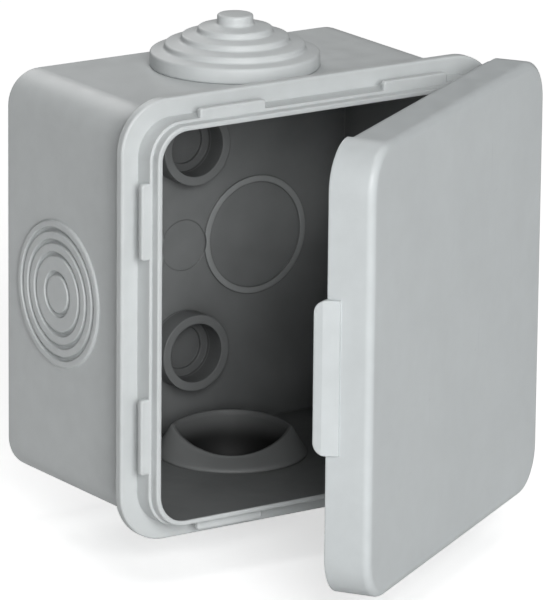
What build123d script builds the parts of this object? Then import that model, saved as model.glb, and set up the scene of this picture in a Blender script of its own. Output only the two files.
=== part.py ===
from build123d import *
import os

# Surface-mounted junction box with a hinged snap lid and soft stepped cable glands.
# The origin is the centre of the back face, which lies on the wall.
# +X points right, +Y points into the wall and +Z points up. All sizes are in millimetres.

# ---- housing: driving sizes ----
BODY_SIZE = 65.0            # outside of the square tub
BODY_DEPTH = 37.4           # from the wall to the front of the flange
BODY_RADIUS = 5.5
BACK_EDGE_RADIUS = 0.8
CAVITY_SIZE = 61.8
CAVITY_RADIUS = 4.6
BACK_WALL = 1.3

FLANGE_SIZE = 70.0
FLANGE_RADIUS = 8.0
FLANGE_THICK = 1.5
FLANGE_EDGE_RADIUS = 0.4

NECK_SIZE = 64.2            # the step around the opening, in front of the flange
NECK_RADIUS = 5.8
NECK_HEIGHT = 3.35
LIP_SIZE = 63.3             # the thinner inner lip, in front of the neck's shoulder
LIP_RADIUS = 5.3
LIP_HEIGHT = 5.0
LIP_EDGE_RADIUS = 0.25

RIDGE_LENGTH = 12.0         # snap ridges, two on each side that has no hinge
RIDGE_REACH = 1.4
RIDGE_THICK = 0.95
RIDGE_PITCH = 34.0
RIDGE_ROOT = 0.6            # how deep a ridge is rooted in the neck
RIDGE_CORNER_RADIUS = 0.5
RIDGE_EDGE_RADIUS = 0.3

# ---- screw wells and rings on the back wall ----
WELL_PITCH = 34.0
WELL_OUTER_RADIUS = 6.27
WELL_BORE_RADIUS = 4.85
WELL_HEIGHT = 3.9
WELL_LEDGE_RADIUS = 3.6
WELL_LEDGE_THICK = 0.5
WELL_WEB = 0.5
RING_OFFSET = 13.6
RING_RADIUS = 9.75
RING_WIDTH = 1.0
RING_HEIGHT = 0.35
GATE_RADIUS = 4.2
GATE_DEPTH = 0.2

# ---- cable entries ----
ENTRY_SETBACK = 15.6        # from the wall to the axis of every cable entry
BREAKOUT_RADIUS = 11.7      # ring-scored break-out discs in the side walls
BREAKOUT_HEIGHT = 0.45
BREAKOUT_GROOVES = (10.25, 8.35, 6.37, 3.35)
BREAKOUT_EDGE_RADIUS = 0.27
BREAKOUT_GROOVE_WIDTH = 0.8
BREAKOUT_GROOVE_WAIST = 0.56    # groove width where its walls turn in to the pointed bottom
BREAKOUT_GROOVE_DEPTH = 0.7
BREAKOUT_POINT_DEPTH = 0.2
GLAND_HOLE_RADIUS = 10.0

# ---- soft gland: (radius, height above the outside of the wall), from the base up ----
GLAND_THROAT_RADIUS = 9.9
GLAND_BASE_RADIUS = 13.4
GLAND_BASE_HEIGHT = 2.4
GLAND_STEP_RADII = (11.1, 8.5, 5.9)
GLAND_STEP_RISE = 0.9
GLAND_TREAD_RISE = 0.4
GLAND_BUTTON_RADIUS = 2.85
GLAND_BUTTON_RISE = 1.6
GLAND_SKIN = 1.15
GLAND_BORE_RADIUS = 8.4
GLAND_BARB_RADIUS = 12.0
GLAND_BARB_THICK = 0.6
GLAND_LIP_RADIUS = 9.4
GLAND_LIP_HEIGHT = 4.7      # how far the inner lip stands inside the wall
GLAND_EDGE_RADIUS = 0.3

# ---- lid, drawn closed ----
LID_SIZE = 70.4
LID_RADIUS = 7.0
LID_FACE_REACH = 7.5        # from the flange to the lid's outer face
LID_WALL = 1.45
LID_FACE_THICK = 1.5
LID_EDGE_RADIUS = 1.2
LID_RIM_GAP = 0.25          # between the lid's rim and the flange
LID_STEP_REACH = 1.4        # from the flange to the step in the skirt
LID_STEP_INSET = 0.6
BEAD_LENGTH = 9.0           # snap beads inside the skirt, one for each ridge
BEAD_REACH = 0.6
BEAD_THICK = 1.1
BEAD_GAP = 0.35             # between a bead and its ridge when closed
BEAD_ROOT = 0.4             # how deep a bead is rooted in the skirt

TAB_LENGTH = 24.0
TAB_THICK = 1.2             # where the tab stands free of the skirt
TAB_ROOT_THICK = 0.4        # where it runs out on the skirt
TAB_OVERHANG = 1.4          # past the flange's front face
TAB_OVERLAP = 2.2           # along the skirt
TAB_RADIUS = 2.0

SEAL_WIDTH = 1.8
SEAL_GAP = 0.3              # to the neck's shoulder when closed, before the seal is squeezed

# ---- hinge: its axis lies level with the flange's front face, just outside its edge ----
HINGE_X = 36.2
HINGE_STATION = 19.0        # height of each hinge above and below the middle
BARREL_RADIUS = 1.8
KNUCKLE_LENGTH = 6.0        # on the lid, between two lugs of the housing
LUG_LENGTH = 2.5
HINGE_GAP = 0.3             # between every piece that turns and every piece that doesn't
ARM_REACH = 4.2             # from the hinge axis to the arm's root on the skirt
ARM_SHOULDER = 1.3          # where the arm's outer slope meets the barrel
PIN_RADIUS = 0.9
PIN_HEAD_RADIUS = 1.15
PIN_HEAD_THICK = 0.7
PIN_END_RADIUS = 0.3
LUG_BORE_CLEARANCE = 0.02
KNUCKLE_BORE_CLEARANCE = 0.07
LID_OPEN_ANGLE = 32.7       # how far the lid stands open at rest

# ---- places worked out from the sizes above ----
FLANGE_Y = -BODY_DEPTH
SHOULDER_Y = FLANGE_Y - NECK_HEIGHT
LIP_Y = FLANGE_Y - LIP_HEIGHT
LID_FACE_Y = FLANGE_Y - LID_FACE_REACH
LID_RIM_Y = FLANGE_Y - LID_RIM_GAP
LID_STEP_Y = FLANGE_Y - LID_STEP_REACH
LID_INSIDE_SIZE = LID_SIZE - 2 * LID_WALL
LID_INSIDE_RADIUS = LID_RADIUS - LID_WALL
LID_CEILING_Y = LID_FACE_Y + LID_FACE_THICK
HINGE_Y = FLANGE_Y
HINGE_HALF_LENGTH = KNUCKLE_LENGTH / 2 + HINGE_GAP + LUG_LENGTH
ENTRY_Y = -ENTRY_SETBACK
WALL_THICK = (BODY_SIZE - CAVITY_SIZE) / 2


def slab(size, radius, y_front, y_back):
    """A rounded square plate seen from the front, between two depths."""
    plane = Plane.XZ.offset(-y_back)
    return extrude(plane * RectangleRounded(size, size, radius), amount=y_back - y_front)


def block(x_low, x_high, y_low, y_high, z_low, z_high):
    """A plain box between two corners."""
    size = Box(x_high - x_low, y_high - y_low, z_high - z_low)
    return Pos((x_low + x_high) / 2, (y_low + y_high) / 2, (z_low + z_high) / 2) * size


def rod_along_y(radius, y_low, y_high, x=0.0, z=0.0):
    """A cylinder whose axis runs into the wall."""
    return Pos(x, (y_low + y_high) / 2, z) * Rot(X=90) * Cylinder(radius, y_high - y_low)


def rod_along_z(radius, z_low, z_high, x, y):
    """A vertical cylinder."""
    return Pos(x, y, (z_low + z_high) / 2) * Cylinder(radius, z_high - z_low)


def edges_at_depth(shape, y):
    """The edges of a shape that lie wholly in one plane parallel to the wall."""
    return shape.edges().filter_by(
        lambda edge: abs(edge.bounding_box().min.Y - y) < 1e-4 and abs(edge.bounding_box().max.Y - y) < 1e-4
    )


def around_the_sides(make_left):
    """Copies of a feature made for the left side, turned onto the left, top and bottom sides."""
    return [Rot(Y=angle) * make_left for angle in (0, 90, -90)]


def breakout_disc():
    """A raised disc with score grooves; its axis is +Z and its base is at height 0."""
    disc = Pos(0, 0, BREAKOUT_HEIGHT / 2) * Cylinder(BREAKOUT_RADIUS, BREAKOUT_HEIGHT)
    return fillet(disc.edges().sort_by(Axis.Z)[-1], BREAKOUT_EDGE_RADIUS)


def breakout_grooves():
    """The ring-shaped cutters that score a break-out disc."""
    cutters = []
    mouth = BREAKOUT_HEIGHT * 1.2
    bottom = BREAKOUT_HEIGHT - BREAKOUT_GROOVE_DEPTH
    turn = bottom + BREAKOUT_POINT_DEPTH
    for radius in BREAKOUT_GROOVES:
        outline = Polyline(
            (radius - BREAKOUT_GROOVE_WIDTH / 2, 0, mouth),
            (radius - BREAKOUT_GROOVE_WAIST / 2, 0, turn),
            (radius, 0, bottom),
            (radius + BREAKOUT_GROOVE_WAIST / 2, 0, turn),
            (radius + BREAKOUT_GROOVE_WIDTH / 2, 0, mouth),
            close=True,
        )
        cutters.append(revolve(make_face(outline), axis=Axis.Z))
    return cutters


def snap_ridge():
    """One snap ridge on the left side of the neck."""
    outer = -NECK_SIZE / 2 - RIDGE_REACH
    ridge = block(
        outer, -NECK_SIZE / 2 + RIDGE_ROOT,
        SHOULDER_Y, SHOULDER_Y + RIDGE_THICK,
        -RIDGE_LENGTH / 2, RIDGE_LENGTH / 2,
    )
    upright = ridge.edges().filter_by(Axis.Y).group_by(Axis.X)[0]
    ridge = fillet(upright, RIDGE_CORNER_RADIUS)
    front_edge = edges_at_depth(ridge, SHOULDER_Y).group_by(Axis.X)[0]
    return fillet(front_edge, RIDGE_EDGE_RADIUS)


def hinge_arm_outline():
    """The plan view of a lid hinge arm, from the skirt to the middle of its barrel."""
    return Polyline(
        (LID_INSIDE_SIZE / 2, LID_RIM_Y),
        (LID_INSIDE_SIZE / 2, HINGE_Y - ARM_REACH),
        (LID_SIZE / 2, HINGE_Y - ARM_REACH),
        (HINGE_X + ARM_SHOULDER, HINGE_Y - ARM_SHOULDER),
        (HINGE_X, HINGE_Y),
        (HINGE_X - BARREL_RADIUS, LID_RIM_Y),
        close=True,
    )


def upright_prism(outline, z_low, z_high):
    """A plan-view outline raised between two heights."""
    return Pos(0, 0, z_low) * extrude(make_face(outline), amount=z_high - z_low)


def make_housing():
    """The tub with its flange, neck, wells, rings, break-outs, ridges and hinge lugs."""
    tub = slab(BODY_SIZE, BODY_RADIUS, FLANGE_Y, 0)
    tub = fillet(edges_at_depth(tub, 0), BACK_EDGE_RADIUS)

    flange = slab(FLANGE_SIZE, FLANGE_RADIUS, FLANGE_Y, FLANGE_Y + FLANGE_THICK)
    flange = fillet(edges_at_depth(flange, FLANGE_Y), FLANGE_EDGE_RADIUS)
    neck = slab(NECK_SIZE, NECK_RADIUS, SHOULDER_Y, FLANGE_Y + FLANGE_THICK / 2)
    lip = slab(LIP_SIZE, LIP_RADIUS, LIP_Y, SHOULDER_Y + 1)
    lip = fillet(edges_at_depth(lip, LIP_Y), LIP_EDGE_RADIUS)

    body = tub + flange + neck + lip
    for z in (-1, 1):
        for ridge in around_the_sides(Pos(0, 0, z * RIDGE_PITCH / 2) * snap_ridge()):
            body += ridge

    body -= slab(CAVITY_SIZE, CAVITY_RADIUS, LIP_Y - 1, -BACK_WALL)

    for z in (-1, 1):
        z_well = z * WELL_PITCH / 2
        body += rod_along_y(WELL_OUTER_RADIUS, -BACK_WALL - WELL_HEIGHT, -BACK_WALL, z=z_well)
        body -= rod_along_y(WELL_BORE_RADIUS, LIP_Y, -WELL_WEB - WELL_LEDGE_THICK, z=z_well)
        body -= rod_along_y(WELL_LEDGE_RADIUS, LIP_Y, -WELL_WEB, z=z_well)

    for side in (-1, 1):
        x_ring = side * RING_OFFSET
        ring = rod_along_y(RING_RADIUS, -BACK_WALL - RING_HEIGHT, -BACK_WALL, x=x_ring)
        ring -= rod_along_y(RING_RADIUS - RING_WIDTH, LIP_Y, 0, x=x_ring)
        body += ring
    body -= rod_along_y(GATE_RADIUS, LIP_Y, -BACK_WALL + GATE_DEPTH)

    for z in (-1, 1):
        body -= Pos(0, ENTRY_Y, z * BODY_SIZE / 2) * Cylinder(GLAND_HOLE_RADIUS, 4 * WALL_THICK)

    for side in (-1, 1):
        place = Pos(side * BODY_SIZE / 2, ENTRY_Y, 0) * Rot(Y=90 * side)
        body += place * breakout_disc()
        for cutter in breakout_grooves():
            body -= place * cutter

    flange_back = FLANGE_Y + FLANGE_THICK
    flange_edge = FLANGE_SIZE / 2
    pocket_x = HINGE_X - BARREL_RADIUS - HINGE_GAP
    pocket_half = KNUCKLE_LENGTH / 2 + HINGE_GAP
    for z in (-HINGE_STATION, HINGE_STATION):
        body -= block(pocket_x, HINGE_X, LIP_Y, flange_back + 1, z - pocket_half, z + pocket_half)
        for end in (-1, 1):
            lug_mid = z + end * (pocket_half + LUG_LENGTH / 2)
            low = lug_mid - LUG_LENGTH / 2
            high = lug_mid + LUG_LENGTH / 2
            lug = block(flange_edge - FLANGE_EDGE_RADIUS * 2, HINGE_X, FLANGE_Y, flange_back, low, high)
            lug += rod_along_z(BARREL_RADIUS, low, high, HINGE_X, HINGE_Y)
            lug -= rod_along_z(PIN_RADIUS + LUG_BORE_CLEARANCE, low - 1, high + 1, HINGE_X, HINGE_Y)
            body += lug
    return body


def gland_corners():
    """(radius, height) corners of a gland's outside, from its base to the top of its button."""
    height = GLAND_BASE_HEIGHT
    corners = [(GLAND_BASE_RADIUS, height)]
    for radius in GLAND_STEP_RADII:
        height += GLAND_TREAD_RISE
        corners.append((radius, height))
        height += GLAND_STEP_RISE
        corners.append((radius, height))
    height += GLAND_TREAD_RISE
    corners.append((GLAND_BUTTON_RADIUS, height))
    corners.append((GLAND_BUTTON_RADIUS, height + GLAND_BUTTON_RISE))
    return corners


def make_gland(side):
    """A soft stepped gland; side is 1 for the top wall and -1 for the bottom wall."""
    corners = gland_corners()
    hollow = [
        (min(radius - GLAND_SKIN, GLAND_BORE_RADIUS), height - GLAND_SKIN)
        for radius, height in corners[2:-1]
    ]
    hollow.append((0.0, hollow[-1][1]))
    inside_the_wall = [
        (GLAND_BORE_RADIUS, -WALL_THICK - GLAND_LIP_HEIGHT),
        (GLAND_LIP_RADIUS, -WALL_THICK - GLAND_LIP_HEIGHT),
        (GLAND_BARB_RADIUS, -WALL_THICK - GLAND_BARB_THICK),
        (GLAND_BARB_RADIUS, -WALL_THICK),
        (GLAND_THROAT_RADIUS, -WALL_THICK),
        (GLAND_THROAT_RADIUS, 0.0),
        (GLAND_BASE_RADIUS, 0.0),
    ]
    profile = inside_the_wall + corners + [(0.0, corners[-1][1])] + hollow[::-1]
    outline = Polyline(*[(radius, 0, height) for radius, height in profile], close=True)
    gland = revolve(make_face(outline), axis=Axis.Z)
    rims = [
        edge
        for edge in gland.edges().filter_by(GeomType.CIRCLE)
        for radius, height in corners[::2]
        if abs(edge.radius - radius) < 1e-3 and abs(edge.center().Z - height) < 1e-3
    ]
    gland = fillet(rims, GLAND_EDGE_RADIUS)
    place = Pos(0, ENTRY_Y, side * BODY_SIZE / 2)
    return place * gland if side > 0 else place * Rot(X=180) * gland


def snap_bead():
    """One snap bead inside the left skirt of the lid, behind a ridge of the neck."""
    back_y = SHOULDER_Y + RIDGE_THICK + BEAD_GAP
    wall_x = -LID_INSIDE_SIZE / 2
    outline = Polyline(
        (wall_x - BEAD_ROOT, back_y),
        (wall_x, back_y),
        (wall_x + BEAD_REACH, back_y + BEAD_THICK / 2),
        (wall_x, back_y + BEAD_THICK),
        (wall_x - BEAD_ROOT, back_y + BEAD_THICK),
        close=True,
    )
    return upright_prism(outline, -BEAD_LENGTH / 2, BEAD_LENGTH / 2)


def latch_tab():
    """The finger tab outside the free skirt: thin on the skirt, thicker where it passes the flange."""
    skirt_x = -LID_SIZE / 2
    outline = Polyline(
        (skirt_x, LID_RIM_Y - TAB_OVERLAP),
        (skirt_x - TAB_ROOT_THICK, LID_RIM_Y - TAB_OVERLAP),
        (skirt_x - TAB_THICK, FLANGE_Y),
        (skirt_x - TAB_THICK, FLANGE_Y + TAB_OVERHANG),
        (skirt_x, FLANGE_Y + TAB_OVERHANG),
        close=True,
    )
    tab = upright_prism(outline, -TAB_LENGTH / 2, TAB_LENGTH / 2)
    free_corners = tab.edges().filter_by(Axis.X).group_by(Axis.Y)[-1]
    return fillet(free_corners, TAB_RADIUS)


def make_lid_closed():
    """The lid tray with its stepped skirt, beads, latch tab and hinge arms, drawn closed."""
    tray = slab(LID_SIZE, LID_RADIUS, LID_FACE_Y, LID_RIM_Y)
    tray = fillet(edges_at_depth(tray, LID_FACE_Y), LID_EDGE_RADIUS)

    step_size = LID_SIZE - 2 * LID_STEP_INSET
    band = slab(LID_SIZE + 2, LID_RADIUS, LID_STEP_Y, LID_RIM_Y + 1)
    band -= slab(step_size, LID_RADIUS - LID_STEP_INSET, LID_STEP_Y - 1, LID_RIM_Y + 2)
    free_edge_x = -LID_SIZE / 2 + LID_RADIUS
    band &= block(free_edge_x, LID_SIZE, LID_STEP_Y - 1, LID_RIM_Y + 2, -LID_SIZE, LID_SIZE)
    tray -= band
    tray -= slab(LID_INSIDE_SIZE, LID_INSIDE_RADIUS, LID_CEILING_Y, LID_RIM_Y + 1)

    for z in (-1, 1):
        for bead in around_the_sides(Pos(0, 0, z * RIDGE_PITCH / 2) * snap_bead()):
            tray += bead

    window_front = HINGE_Y - BARREL_RADIUS - HINGE_GAP
    window_half = HINGE_HALF_LENGTH + HINGE_GAP
    bore_radius = PIN_RADIUS + KNUCKLE_BORE_CLEARANCE
    for z in (-HINGE_STATION, HINGE_STATION):
        low = z - KNUCKLE_LENGTH / 2
        high = z + KNUCKLE_LENGTH / 2
        tray -= block(
            LID_INSIDE_SIZE / 2 - 1, HINGE_X,
            window_front, FLANGE_Y,
            z - window_half, z + window_half,
        )
        tray += upright_prism(hinge_arm_outline(), low, high)
        tray += rod_along_z(BARREL_RADIUS, low, high, HINGE_X, HINGE_Y)
        tray -= rod_along_z(bore_radius, low - 1, high + 1, HINGE_X, HINGE_Y)
    return tray + latch_tab()


def make_seal_closed():
    """The soft ring that fills the corner of the lid and faces the neck's shoulder."""
    front = LID_CEILING_Y
    back = SHOULDER_Y - SEAL_GAP
    ring = slab(LID_INSIDE_SIZE, LID_INSIDE_RADIUS, front, back)
    inside = LID_INSIDE_SIZE - 2 * SEAL_WIDTH
    ring -= slab(inside, LID_INSIDE_RADIUS - SEAL_WIDTH, front - 1, back + 1)
    return ring


def opened(shape):
    """A closed lid piece, turned about the hinge axis to the rest position."""
    to_axis = Pos(HINGE_X, HINGE_Y, 0)
    return to_axis * Rot(Z=LID_OPEN_ANGLE) * to_axis.inverse() * shape


def make_pin(side):
    """A hinge pin with a small head at its top; side is 1 for the upper pin."""
    low = side * HINGE_STATION - HINGE_HALF_LENGTH - HINGE_GAP
    high = side * HINGE_STATION + HINGE_HALF_LENGTH
    pin = rod_along_z(PIN_RADIUS, low, high, HINGE_X, HINGE_Y)
    pin += rod_along_z(PIN_HEAD_RADIUS, high, high + PIN_HEAD_THICK, HINGE_X, HINGE_Y)
    tip = pin.edges().sort_by(Axis.Z)[0]
    crown = pin.edges().sort_by(Axis.Z)[-1]
    return fillet([tip, crown], PIN_END_RADIUS)


os.makedirs("parts", exist_ok=True)
pieces = {
    "housing": make_housing(),
    "lid": opened(make_lid_closed()),
    "lid_seal": opened(make_seal_closed()),
    "upper_gland": make_gland(1),
    "lower_gland": make_gland(-1),
    "upper_hinge_pin": make_pin(1),
    "lower_hinge_pin": make_pin(-1),
}
for name, shape in pieces.items():
    export_step(shape, f"parts/{name}.step")
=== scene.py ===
import math

import bpy
from mathutils import Matrix, Vector


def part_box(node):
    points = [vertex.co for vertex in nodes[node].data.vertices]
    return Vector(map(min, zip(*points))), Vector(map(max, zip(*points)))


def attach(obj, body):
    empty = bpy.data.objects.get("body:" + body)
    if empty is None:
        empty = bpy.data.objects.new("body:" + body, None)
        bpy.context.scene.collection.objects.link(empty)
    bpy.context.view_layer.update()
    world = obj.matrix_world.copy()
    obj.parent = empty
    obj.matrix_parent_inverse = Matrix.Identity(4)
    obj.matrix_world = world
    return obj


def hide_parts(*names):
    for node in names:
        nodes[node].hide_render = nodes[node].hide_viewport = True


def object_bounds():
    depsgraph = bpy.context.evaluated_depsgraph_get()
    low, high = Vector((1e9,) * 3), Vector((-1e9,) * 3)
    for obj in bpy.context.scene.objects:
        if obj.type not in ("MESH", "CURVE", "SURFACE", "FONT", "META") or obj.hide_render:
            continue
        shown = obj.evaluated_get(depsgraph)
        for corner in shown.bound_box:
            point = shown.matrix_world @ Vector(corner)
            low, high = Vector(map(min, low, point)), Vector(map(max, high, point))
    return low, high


# Looks for a surface-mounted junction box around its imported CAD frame. All sizes are in metres.
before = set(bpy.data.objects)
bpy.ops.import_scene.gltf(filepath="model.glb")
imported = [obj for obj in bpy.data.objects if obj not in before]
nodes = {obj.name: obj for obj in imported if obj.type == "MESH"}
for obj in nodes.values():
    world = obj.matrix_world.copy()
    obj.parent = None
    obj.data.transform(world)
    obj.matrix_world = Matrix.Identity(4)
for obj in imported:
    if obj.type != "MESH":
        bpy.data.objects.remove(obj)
cad_box = [list(corner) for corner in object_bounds()]
MM = 0.001

# ---- sizes taken from the frame ----
housing_low, housing_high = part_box("housing")
LIP_FRONT = housing_low.y
FLANGE_OVERHANG = 2.5 * MM
BOX_HALF = housing_high.z - FLANGE_OVERHANG
GLAND_LOW, GLAND_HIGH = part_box("upper_gland")
GLAND_CENTRE_Y = (GLAND_LOW.y + GLAND_HIGH.y) / 2

# ---- inside of the tub, where painted shade makes the inner surface darker ----
CAVITY_FLAT_HALF = 26.3 * MM
CAVITY_ROUND = 4.8 * MM
INSIDE_FRONT = LIP_FRONT + 0.3 * MM
INSIDE_BACK = -0.3 * MM

# ---- gland sizes, measured outward from the outside of the wall ----
WALL = 1.6 * MM
SEGMENTS = 144
BASE_RADIUS = GLAND_HIGH.x
BASE_HEIGHT = 2.4 * MM
STEP_RADII = (11.1 * MM, 8.5 * MM, 5.9 * MM)
STEP_RISE = 0.9 * MM
TREAD_RISE = 0.4 * MM
BUTTON_RADIUS = 2.85 * MM
BUTTON_RISE = 1.6 * MM
SKIN = 1.15 * MM
THROAT_RADIUS = 9.9 * MM
BORE_RADIUS = 8.4 * MM
BORE_END = -0.6 * WALL              # where the round bore starts to turn into the pinched mouth
CENTRE_RADIUS = 0.25 * MM           # the last ring round the axis, closed by a small disc
RIM_ROUND = 0.42 * MM
FOOT_ROUND = 0.22 * MM

BARB_RADIUS = 12.0 * MM
BARB_SWELL = 0.1 * MM
BARB_EDGE_DEPTH = 0.55 * MM         # inside the wall, where the lip's slope meets the barb
BARB_SWELL_DEPTH = 0.3 * MM
BARB_SEAT_DEPTH = 0.03 * MM         # a hair off the wall's inner face, so that the two don't coincide

MOUTH_HALF_LENGTH = 9.7 * MM
MOUTH_HALF_WIDTH = 8.7 * MM
MOUTH_TURN = math.radians(-34)      # the direction the pinched mouth's tips point in
MOUTH_SHARPNESS = 0.5               # 0 gives an oval, more gives sharper tips
LIP_THICK = 0.7 * MM
TIP_HEIGHT = 4.6 * MM
FAR_RISE = 0.1 * MM
FAR_CURVE = 1.5
NEAR_DROP = 2.7 * MM
NEAR_CURVE = 1.3
BORE_TO_MOUTH = (0.75, 0.45, 0.2)   # how round the rings between the bore and the mouth are
MOUTH_TO_BARB = (0.2, 0.4, 0.6, 0.8, 1.0)
BORE_SIDE_LIFT = 0.1 * MM
INNER_EDGE_LIFT = 0.12 * MM
OUTER_EDGE_LIFT = 0.14 * MM
FLAT_OF_LIP = (0.8, 0.25)           # the lip's flat top, as shares of its thickness

# ---- how far from the middle of the box a gland's hollow starts and ends darkening as painted shade ----
FADE_START = BOX_HALF - 5.6 * MM
FADE_END = BOX_HALF - 1.4 * MM
HOLLOW_SHADE_DARKEST = 0.12

# ---- the rings on the back wall, whose fronts get painted light, as if lit from the front ----
BACK_RING_FRONT = -1.65 * MM
RAISED_TOLERANCE = 0.12 * MM
RING_FRONT_PAINTED_LIGHT = 0.55

# ---- how every moulded surface varies ----
BLOTCH_SIZE = 14 * MM
CLOUD_SIZE = 3.2 * MM
MIDDLE_NOISE = (0.3, 0.7)           # the noise values that tones and tints are spread between
CLOUD_TINT = (0.975, 1.02)
BLOTCH_DARKEST = 0.965
# the darkest blotches of the tub's painted-shade inside colour
SHADE_LINING_DARKEST = 0.86
UPRIGHT_SCUFF_WIDTH = 1.1 * MM
UPRIGHT_SCUFF_SQUASH = (1, 1, 0.04)     # draws the noise out along Z
UPRIGHT_SCUFF_RANGE = (0.66, 0.74)
LEVEL_SCUFF_WIDTH = 1.3 * MM
LEVEL_SCUFF_SQUASH = (0.05, 1, 1)       # draws the noise out along X
LEVEL_SCUFF_RANGE = (0.67, 0.75)
SCUFF_BLOTCHES = (0.48, 0.62)
WEAR_CLOUDS = (0.3, 0.62)
WEAR_LEAST = 0.25
WEAR_LIGHTER = 0.05
SCUFF_DARKER = 0.025
CLOUD_SMOOTHER = 0.05
CLOUD_ROUGHER = 0.06
SCUFF_ROUGHER = 0.10
WEAR_SMOOTHER = 0.08
FINE_RELIEF = 0.55
CLOUD_RELIEF = 0.9
SCUFF_RELIEF = 0.3
# painted shade in crevices, where a piece's own surfaces stand close
CREVICE_REACH = 1.6 * MM
CREVICE_SHADE_DARKEST = 0.78
# painted shade in the tub's inside: where its walls stand close, and from its bottom to its top
SHELTER_REACH = 9 * MM
SHELTER_SHADE_DARKEST = 0.5
INSIDE_SHADE_BOTTOM_TO_TOP = (0.76, 1.18)
BUMP_DEPTH = 0.03 * MM


# ------------------------------------------------------------------ shader nodes
class Nodes:
    """A small helper that adds nodes to one material and wires them up."""

    def __init__(self, material):
        self.tree = material.node_tree

    def add(self, kind, **settings):
        node = self.tree.nodes.new(kind)
        for name, value in settings.items():
            setattr(node, name, value)
        return node

    def feed(self, socket, value):
        if isinstance(value, bpy.types.NodeSocket):
            self.tree.links.new(value, socket)
        else:
            socket.default_value = value

    def math(self, operation, first, second=0.0, clamp=False):
        node = self.add("ShaderNodeMath", operation=operation, use_clamp=clamp)
        self.feed(node.inputs[0], first)
        self.feed(node.inputs[1], second)
        return node.outputs[0]

    def vector(self, operation, first, second=(0, 0, 0)):
        node = self.add("ShaderNodeVectorMath", operation=operation)
        self.feed(node.inputs[0], first)
        self.feed(node.inputs[1], second)
        return node.outputs["Value"] if operation in ("LENGTH", "DOT_PRODUCT") else node.outputs[0]

    def noise(self, where, feature_size, detail=3.0, stretch=(1, 1, 1)):
        """Noise about 0.5 whose features are about feature_size across."""
        place = self.add("ShaderNodeMapping")
        self.feed(place.inputs["Vector"], where)
        place.inputs["Scale"].default_value = stretch
        node = self.add("ShaderNodeTexNoise")
        self.feed(node.inputs["Vector"], place.outputs[0])
        node.inputs["Scale"].default_value = 1 / feature_size
        node.inputs["Detail"].default_value = detail
        return node.outputs["Fac"]

    def spread(self, value, low, high, to_low=0.0, to_high=1.0, smooth=True):
        """value taken from the range low..high to the range to_low..to_high, and held there."""
        node = self.add("ShaderNodeMapRange", interpolation_type="SMOOTHSTEP" if smooth else "LINEAR")
        self.feed(node.inputs["Value"], value)
        for socket, number in zip(("From Min", "From Max", "To Min", "To Max"), (low, high, to_low, to_high)):
            self.feed(node.inputs[socket], number)
        return node.outputs[0]

    def blend(self, factor, first, second):
        node = self.add("ShaderNodeMix", data_type="RGBA")
        self.feed(node.inputs["Factor"], factor)
        self.feed(node.inputs["A"], first)
        self.feed(node.inputs["B"], second)
        return node.outputs["Result"]

    def bump(self, height, distance, strength, normal=None):
        node = self.add("ShaderNodeBump")
        self.feed(node.inputs["Height"], height)
        node.inputs["Distance"].default_value = distance
        node.inputs["Strength"].default_value = strength
        if normal is not None:
            self.feed(node.inputs["Normal"], normal)
        return node.outputs[0]


def rounded(n, radius):
    """(normal of the surface with its sharp edges eased, how near a point is to such an edge)."""
    eased = n.add("ShaderNodeBevel", samples=6)
    eased.inputs["Radius"].default_value = radius
    true_normal = n.add("ShaderNodeNewGeometry").outputs["Normal"]
    facing = n.vector("DOT_PRODUCT", eased.outputs[0], true_normal)
    return eased.outputs[0], n.spread(facing, 0.995, 0.86)


def separated(n, where):
    """The X, Y and Z sockets of a place."""
    parts = n.add("ShaderNodeSeparateXYZ")
    n.feed(parts.inputs[0], where)
    return parts.outputs


def tub_inside(n, where):
    """1 on the inner surfaces of the tub and 0 outside it, with a sharp change at the lip."""
    place = separated(n, n.vector("ABSOLUTE", where))
    over_x = n.math("MAXIMUM", n.math("SUBTRACT", place["X"], CAVITY_FLAT_HALF), 0.0)
    over_z = n.math("MAXIMUM", n.math("SUBTRACT", place["Z"], CAVITY_FLAT_HALF), 0.0)
    squares = n.math("ADD", n.math("MULTIPLY", over_x, over_x), n.math("MULTIPLY", over_z, over_z))
    within = n.math("LESS_THAN", squares, CAVITY_ROUND**2)
    behind_lip = n.math("LESS_THAN", place["Y"], -INSIDE_FRONT)
    before_back = n.math("GREATER_THAN", place["Y"], -INSIDE_BACK)
    return n.math("MULTIPLY", within, n.math("MULTIPLY", behind_lip, before_back))


def raised_faces(n, where):
    """1 on the fronts of the rings on the tub's back wall."""
    away = n.math("ABSOLUTE", n.math("SUBTRACT", separated(n, where)["Y"], BACK_RING_FRONT))
    return n.math("LESS_THAN", away, RAISED_TOLERANCE)


def depth_shade(n, where):
    """Painted shade: 1 at a gland's mouth, falling to nearly 0 down in its hollow."""
    height = separated(n, n.vector("ABSOLUTE", where))["Z"]
    return n.spread(height, FADE_START, FADE_END, 1.0, HOLLOW_SHADE_DARKEST)


def shaded(n, tint, reach, closed, clear, darkest):
    """tint, lowered by painted shade where the piece's own surfaces stand close around a point."""
    shelter = n.add("ShaderNodeAmbientOcclusion", samples=6, only_local=True)
    shelter.inputs["Distance"].default_value = reach
    kept = n.spread(shelter.outputs["AO"], closed, clear, darkest, 1.0, smooth=False)
    return n.math("MULTIPLY", tint, kept)


def paint_inside_shade(n, where, tint, within):
    """tint, with painted shade on the tub's inside, darker towards the bottom and where its walls stand
    close.
    """
    height = separated(n, where)["Z"]
    shade_by_height = n.spread(height, -BOX_HALF, BOX_HALF, *INSIDE_SHADE_BOTTOM_TO_TOP, smooth=False)
    inner = shaded(n, n.math("MULTIPLY", tint, shade_by_height), SHELTER_REACH, 0.3, 0.8, SHELTER_SHADE_DARKEST)
    outer = n.math("MULTIPLY", tint, n.math("SUBTRACT", 1.0, within))
    return n.math("ADD", n.math("MULTIPLY", inner, within), outer)


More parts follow.
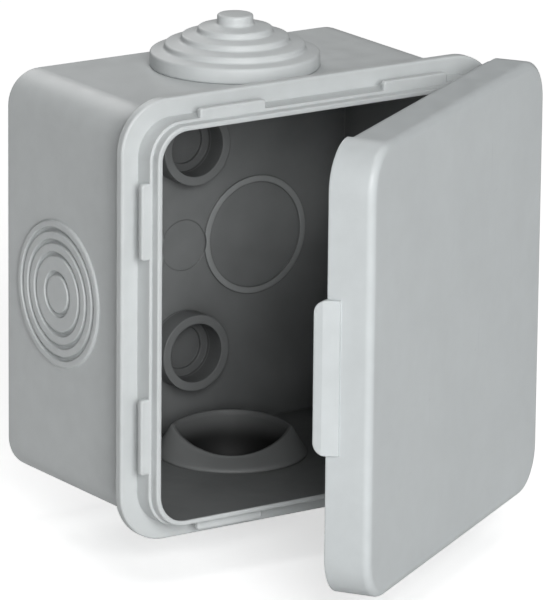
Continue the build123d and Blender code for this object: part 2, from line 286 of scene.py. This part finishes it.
def toned(n, blotch, colour, darkest):
    """A colour that falls to the given share of itself in its darkest blotches."""
    dark = tuple(channel * darkest for channel in colour) + (1,)
    return n.blend(n.spread(blotch, *MIDDLE_NOISE), dark, tuple(colour) + (1,))


def scuff_marks(n, where, blotch):
    """Faint straight scuffs, upright and level, that keep to the lighter blotches."""
    upright = n.noise(where, UPRIGHT_SCUFF_WIDTH, 3, UPRIGHT_SCUFF_SQUASH)
    level = n.noise(where, LEVEL_SCUFF_WIDTH, 3, LEVEL_SCUFF_SQUASH)
    upright = n.spread(upright, *UPRIGHT_SCUFF_RANGE)
    level = n.spread(level, *LEVEL_SCUFF_RANGE)
    return n.math("MULTIPLY", n.math("MAXIMUM", upright, level), n.spread(blotch, *SCUFF_BLOTCHES))


def moulded(name, colour, roughness, grain, ease=0.3 * MM, relief=0.5, painted_shade_lining=None, hollow=False):
    """Moulded plastic or rubber: fine grain, slow blotches, faint scuffs, eased and slightly worn edges.

    The tub's inside gets a darker colour as painted shade, and hollow darkens a gland's inside with depth as
    painted shade.
    """
    material = bpy.data.materials.new(name)
    material.use_nodes = True
    n = Nodes(material)
    shader = n.tree.nodes["Principled BSDF"]
    where = n.add("ShaderNodeTexCoord").outputs["Object"]

    blotch = n.noise(where, BLOTCH_SIZE, 4)
    cloud = n.noise(where, CLOUD_SIZE, 5)
    fine = n.noise(where, grain, 2)
    scuffs = scuff_marks(n, where, blotch)
    normal, edge = rounded(n, ease)
    worn = n.math("MULTIPLY", edge, n.spread(cloud, *WEAR_CLOUDS, WEAR_LEAST, 1.0))

    base = toned(n, blotch, colour, BLOTCH_DARKEST)
    tint = n.spread(cloud, *MIDDLE_NOISE, *CLOUD_TINT, smooth=False)
    tint = n.math("ADD", tint, n.math("MULTIPLY", worn, WEAR_LIGHTER))
    tint = n.math("SUBTRACT", tint, n.math("MULTIPLY", scuffs, SCUFF_DARKER))
    if painted_shade_lining is not None:
        within = tub_inside(n, where)
        # painted shade: the tub's inside takes a much darker colour than its outside
        base = n.blend(within, base, toned(n, blotch, painted_shade_lining, SHADE_LINING_DARKEST))
        # painted light: the fronts of the back wall's rings are made lighter, as if lit from the front
        lit_ring_fronts = n.math("MULTIPLY", raised_faces(n, where), within)
        tint = n.math("ADD", tint, n.math("MULTIPLY", lit_ring_fronts, RING_FRONT_PAINTED_LIGHT))
    # painted shade: darker in crevices, where the piece's own surfaces stand close
    tint = shaded(n, tint, CREVICE_REACH, 0.1, 0.55, CREVICE_SHADE_DARKEST)
    # painted shade: a gland's hollow darkens with depth
    if hollow:
        tint = n.math("MULTIPLY", tint, depth_shade(n, where))
    # painted shade: the tub's inside darker towards the bottom and where its walls stand close
    if painted_shade_lining is not None:
        tint = paint_inside_shade(n, where, tint, within)
    scale = n.add("ShaderNodeVectorMath", operation="SCALE")
    n.feed(scale.inputs[0], base)
    n.feed(scale.inputs["Scale"], tint)
    n.feed(shader.inputs["Base Color"], scale.outputs[0])

    smoothest = roughness - CLOUD_SMOOTHER
    roughest = roughness + CLOUD_ROUGHER
    rough = n.spread(cloud, *MIDDLE_NOISE, smoothest, roughest, smooth=False)
    rough = n.math("ADD", rough, n.math("MULTIPLY", scuffs, SCUFF_ROUGHER))
    rough = n.math("SUBTRACT", rough, n.math("MULTIPLY", worn, WEAR_SMOOTHER), clamp=True)
    n.feed(shader.inputs["Roughness"], rough)
    height = n.math("ADD", n.math("MULTIPLY", fine, FINE_RELIEF), n.math("MULTIPLY", cloud, CLOUD_RELIEF))
    height = n.math("SUBTRACT", height, n.math("MULTIPLY", scuffs, SCUFF_RELIEF))
    n.feed(shader.inputs["Normal"], n.bump(height, BUMP_DEPTH, relief, normal))
    shader.inputs["IOR"].default_value = 1.5
    shader.inputs["Specular IOR Level"].default_value = 0.45
    return material


# painted shade: the second colour darkens the tub's inside
HOUSING = moulded("housing_plastic", (0.595, 0.621, 0.624), 0.46, 0.16 * MM, painted_shade_lining=(0.236, 0.245, 0.246))
LID = moulded("lid_plastic", (0.600, 0.634, 0.642), 0.38, 0.22 * MM, relief=0.4)
GLAND = moulded("gland_rubber", (0.632, 0.658, 0.662), 0.5, 0.12 * MM)
# painted shade: the gland's faces inside the box get a much darker rubber colour
GLAND_INSIDE_SHADE = moulded("gland_rubber_inside_shaded", (0.198, 0.205, 0.205), 0.55, 0.12 * MM)
# painted shade: the gland's hollow is darker still, and darkens further with depth
GLAND_HOLLOW_SHADE = moulded("gland_rubber_hollow_shaded", (0.150, 0.155, 0.155), 0.6, 0.12 * MM, hollow=True)
SEAL = moulded("seal_rubber", (0.055, 0.056, 0.058), 0.7, 0.3 * MM, relief=0.8)
PIN = moulded("pin_plastic", (0.560, 0.575, 0.580), 0.3, 0.2 * MM, ease=0.12 * MM)


# ------------------------------------------------------------------ CAD nodes that are kept
def finish_node(name, material):
    """Gives a CAD node its material."""
    obj = nodes[name]
    obj.data.materials.clear()
    obj.data.materials.append(material)


finish_node("housing", HOUSING)
finish_node("lid", LID)
finish_node("lid_seal", SEAL)
for pin_name in ("upper_hinge_pin", "lower_hinge_pin"):
    finish_node(pin_name, PIN)


# ------------------------------------------------------------------ glands
def ring(radius, height):
    """A round ring of points at one height, started at the mouth's first point so that all rings line up."""
    points = []
    for step in range(SEGMENTS):
        turn = 2 * math.pi * step / SEGMENTS
        point = Vector((radius * math.cos(turn), radius * math.sin(turn), height))
        points.append(Matrix.Rotation(MOUTH_TURN, 3, "Z") @ point)
    return points


def mouth_ring(grow, lift, towards_round=0.0, round_radius=0.0, round_height=0.0):
    """The pinched mouth of the inner lip, an eye shape with two points, blended towards a round ring."""
    points = []
    turned = Matrix.Rotation(MOUTH_TURN, 3, "Z")
    for step in range(SEGMENTS):
        turn = 2 * math.pi * step / SEGMENTS
        along = math.cos(turn)
        across = math.sin(turn)
        x = (MOUTH_HALF_LENGTH + grow) * along
        y = (MOUTH_HALF_WIDTH + grow) * across * abs(across) ** MOUTH_SHARPNESS
        rise = FAR_RISE * max(-across, 0.0) ** FAR_CURVE - NEAR_DROP * max(across, 0.0) ** NEAR_CURVE
        mouth = turned @ Vector((x, y, 0))
        mouth.z = -WALL - TIP_HEIGHT - rise + lift
        rounded_point = turned @ Vector((along, across, 0)) * round_radius
        rounded_point.z = round_height
        points.append(mouth.lerp(rounded_point, towards_round))
    return points


def soften(corners, round_by):
    """Replaces each inner corner of a (radius, height) outline with a small curve of five points."""
    outline = [corners[0]]
    for before, corner, after in zip(corners, corners[1:], corners[2:]):
        here = Vector(corner)
        back = (Vector(before) - here).normalized() * round_by
        ahead = (Vector(after) - here).normalized() * round_by
        for share in (0.0, 0.25, 0.5, 0.75, 1.0):
            start = here + back * (1 - share)
            end = here + ahead * share
            outline.append(tuple(start.lerp(end, share)))
    outline.append(corners[-1])
    return outline


def stepped_outline():
    """(radius, height) corners of the gland's outside, from its throat to the top of its button."""
    height = BASE_HEIGHT
    outline = [(THROAT_RADIUS, 0.0), (BASE_RADIUS, 0.0), (BASE_RADIUS, height)]
    for radius in STEP_RADII:
        height += TREAD_RISE
        outline.append((radius, height))
        height += STEP_RISE
        outline.append((radius, height))
    height += TREAD_RISE
    outline.append((BUTTON_RADIUS, height))
    outline.append((BUTTON_RADIUS, height + BUTTON_RISE))
    return outline


def build_gland(name, side):
    """A soft stepped gland as one closed skin; side is 1 for the top wall and -1 for the bottom."""
    outer = stepped_outline()
    hollow = [(min(radius - SKIN, BORE_RADIUS), height - SKIN) for radius, height in outer[4:-1]][::-1]
    rings = [ring(CENTRE_RADIUS, hollow[0][1])]
    rings += [ring(radius, height) for radius, height in soften(hollow, FOOT_ROUND)]
    rings.append(ring(BORE_RADIUS, BORE_END))
    for share in BORE_TO_MOUTH:
        rings.append(mouth_ring(-LIP_THICK, BORE_SIDE_LIFT, share, BORE_RADIUS, BORE_END))
    rings.append(mouth_ring(-LIP_THICK, INNER_EDGE_LIFT))
    rings.append(mouth_ring(-LIP_THICK * FLAT_OF_LIP[0], 0.0))
    hollow_rows = len(rings)
    rings.append(mouth_ring(-LIP_THICK * FLAT_OF_LIP[1], 0.0))
    rings.append(mouth_ring(0.0, OUTER_EDGE_LIFT))
    for share in MOUTH_TO_BARB:
        rings.append(mouth_ring(0.0, OUTER_EDGE_LIFT, share, BARB_RADIUS, -WALL - BARB_EDGE_DEPTH))
    rings.append(ring(BARB_RADIUS + BARB_SWELL, -WALL - BARB_SWELL_DEPTH))
    rings.append(ring(BARB_RADIUS, -WALL - BARB_SEAT_DEPTH))
    inner_rows = len(rings)
    rings.append(ring(THROAT_RADIUS, -WALL - BARB_SEAT_DEPTH))
    outer.append((2 * CENTRE_RADIUS, outer[-1][1]))
    rings += [ring(radius, height) for radius, height in soften(outer, RIM_ROUND)]
    rings.append(ring(CENTRE_RADIUS, outer[-1][1]))

    count = len(rings)
    vertices = [point for row in rings for point in row]
    faces = []
    for row in range(count - 1):
        for step in range(SEGMENTS):
            following = (step + 1) % SEGMENTS
            first = row * SEGMENTS
            second = first + SEGMENTS
            faces.append((first + step, first + following, second + following, second + step))
    faces.append(tuple(range(SEGMENTS))[::-1])
    faces.append(tuple((count - 1) * SEGMENTS + step for step in range(SEGMENTS)))
    place = Matrix.Translation((0, GLAND_CENTRE_Y, side * BOX_HALF))
    if side < 0:
        place = place @ Matrix.Rotation(math.pi, 4, "X")
        # half a turn about X also mirrors the mouth's direction, so it is turned back
        place = place @ Matrix.Rotation(-2 * MOUTH_TURN, 4, "Z")
    mesh = bpy.data.meshes.new(name)
    mesh.from_pydata([tuple(place @ vertex) for vertex in vertices], [], faces)
    mesh.polygons.foreach_set("use_smooth", [True] * len(mesh.polygons))
    for material in (GLAND_HOLLOW_SHADE, GLAND_INSIDE_SHADE, GLAND):
        mesh.materials.append(material)
    # the faces run row by row from the hollow's top, over the lip, to the outside
    for number, polygon in enumerate(mesh.polygons):
        row = number // SEGMENTS
        polygon.material_index = int(row >= hollow_rows) + int(row >= inner_rows)
    mesh.polygons[(count - 1) * SEGMENTS].material_index = 0
    mesh.update()
    obj = bpy.data.objects.new(name, mesh)
    bpy.context.scene.collection.objects.link(obj)
    return obj


for gland_name, side in (("upper", 1), ("lower", -1)):
    gland = build_gland(f"{gland_name}_gland_skin", side)
    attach(gland, "root")
    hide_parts(f"{gland_name}_gland")


# ------------------------------------------------------------------ floor, lights and camera
FLOOR_GLOW = 0.60                   # seen by the camera only


def floor_white():
    """A pale matt floor that looks nearly white but throws little light back onto the object."""
    material = bpy.data.materials.new("floor_white")
    material.use_nodes = True
    n = Nodes(material)
    shader = n.tree.nodes["Principled BSDF"]
    shader.inputs["Base Color"].default_value = (0.80, 0.80, 0.80, 1)
    shader.inputs["Roughness"].default_value = 0.9
    glow = n.add("ShaderNodeEmission")
    glow.inputs["Strength"].default_value = FLOOR_GLOW
    both = n.add("ShaderNodeAddShader")
    n.feed(both.inputs[0], shader.outputs[0])
    n.feed(both.inputs[1], glow.outputs[0])
    choose = n.add("ShaderNodeMixShader")
    n.feed(choose.inputs[0], n.add("ShaderNodeLightPath").outputs["Is Camera Ray"])
    n.feed(choose.inputs[1], shader.outputs[0])
    n.feed(choose.inputs[2], both.outputs[0])
    n.feed(n.tree.nodes["Material Output"].inputs["Surface"], choose.outputs[0])
    return material


FLOOR_HALF = 6.0
floor_mesh = bpy.data.meshes.new("floor")
FLOOR_GAP = 0.2 * MM
floor_height = cad_box[0][2] - FLOOR_GAP
floor_corners = [
    (x * FLOOR_HALF, y * FLOOR_HALF, floor_height) for x, y in ((-1, -1), (1, -1), (1, 1), (-1, 1))
]
floor_mesh.from_pydata(floor_corners, [], [(0, 1, 2, 3)])
floor = bpy.data.objects.new("floor", floor_mesh)
floor_mesh.materials.append(floor_white())
bpy.context.scene.collection.objects.link(floor)

TARGET = Vector((0.0, -0.04, 0.0))
# name, direction from the object (right, towards the viewer, up), distance, size, power
LIGHTS = [
    ("key", (-0.42, 1.0, 0.38), 1.3, 0.7, 15.2),
    ("top", (0.0, 0.1, 1.0), 1.4, 0.9, 4.4),
    ("back", (0.2, -1.0, 0.6), 1.6, 0.9, 7.0),
]
for light_name, direction, distance, size, power in LIGHTS:
    data = bpy.data.lights.new(light_name, "AREA")
    data.shape = "DISK"
    data.size = size
    data.energy = power
    lamp = bpy.data.objects.new(light_name, data)
    offset = Vector((direction[0], -direction[1], direction[2])).normalized() * distance
    lamp.location = TARGET + offset
    lamp.rotation_euler = (-offset).to_track_quat("-Z", "Y").to_euler()
    bpy.context.scene.collection.objects.link(lamp)

world = bpy.data.worlds.new("studio")
world.use_nodes = True
WORLD_LIGHT = 0.02
BACKGROUND_LEVEL = 1.0
world_tree = world.node_tree
ambient = world_tree.nodes["Background"]
ambient.inputs["Color"].default_value = (1.0, 1.0, 1.0, 1)
ambient.inputs["Strength"].default_value = WORLD_LIGHT
seen = world_tree.nodes.new("ShaderNodeBackground")
seen.inputs["Color"].default_value = (1.0, 1.0, 1.0, 1)
seen.inputs["Strength"].default_value = BACKGROUND_LEVEL
choose = world_tree.nodes.new("ShaderNodeMixShader")
world_tree.links.new(world_tree.nodes.new("ShaderNodeLightPath").outputs["Is Camera Ray"], choose.inputs[0])
world_tree.links.new(ambient.outputs[0], choose.inputs[1])
world_tree.links.new(seen.outputs[0], choose.inputs[2])
world_tree.links.new(choose.outputs[0], world_tree.nodes["World Output"].inputs["Surface"])
bpy.context.scene.world = world
bpy.context.scene.view_settings.view_transform = "Standard"

CAMERA_PLACE = Vector((-0.52484, -0.79951, 0.25351))
CAMERA_YAW = 0.59688
CAMERA_PITCH = -0.26812
CAMERA_ROLL = 0.010043
CAMERA_LENS = 370.2

camera = bpy.data.objects.new("camera", bpy.data.cameras.new("camera"))
forward = Vector((
    math.sin(CAMERA_YAW) * math.cos(CAMERA_PITCH),
    math.cos(CAMERA_YAW) * math.cos(CAMERA_PITCH),
    math.sin(CAMERA_PITCH),
))
level = Vector((math.cos(CAMERA_YAW), -math.sin(CAMERA_YAW), 0))
upright = level.cross(forward)
right = level * math.cos(CAMERA_ROLL) + upright * math.sin(CAMERA_ROLL)
up = upright * math.cos(CAMERA_ROLL) - level * math.sin(CAMERA_ROLL)
camera.matrix_world = Matrix.Translation(CAMERA_PLACE) @ Matrix((right, up, -forward)).transposed().to_4x4()
camera.data.lens = CAMERA_LENS
camera.data.clip_end = 30
bpy.context.scene.collection.objects.link(camera)
bpy.context.scene.camera = camera
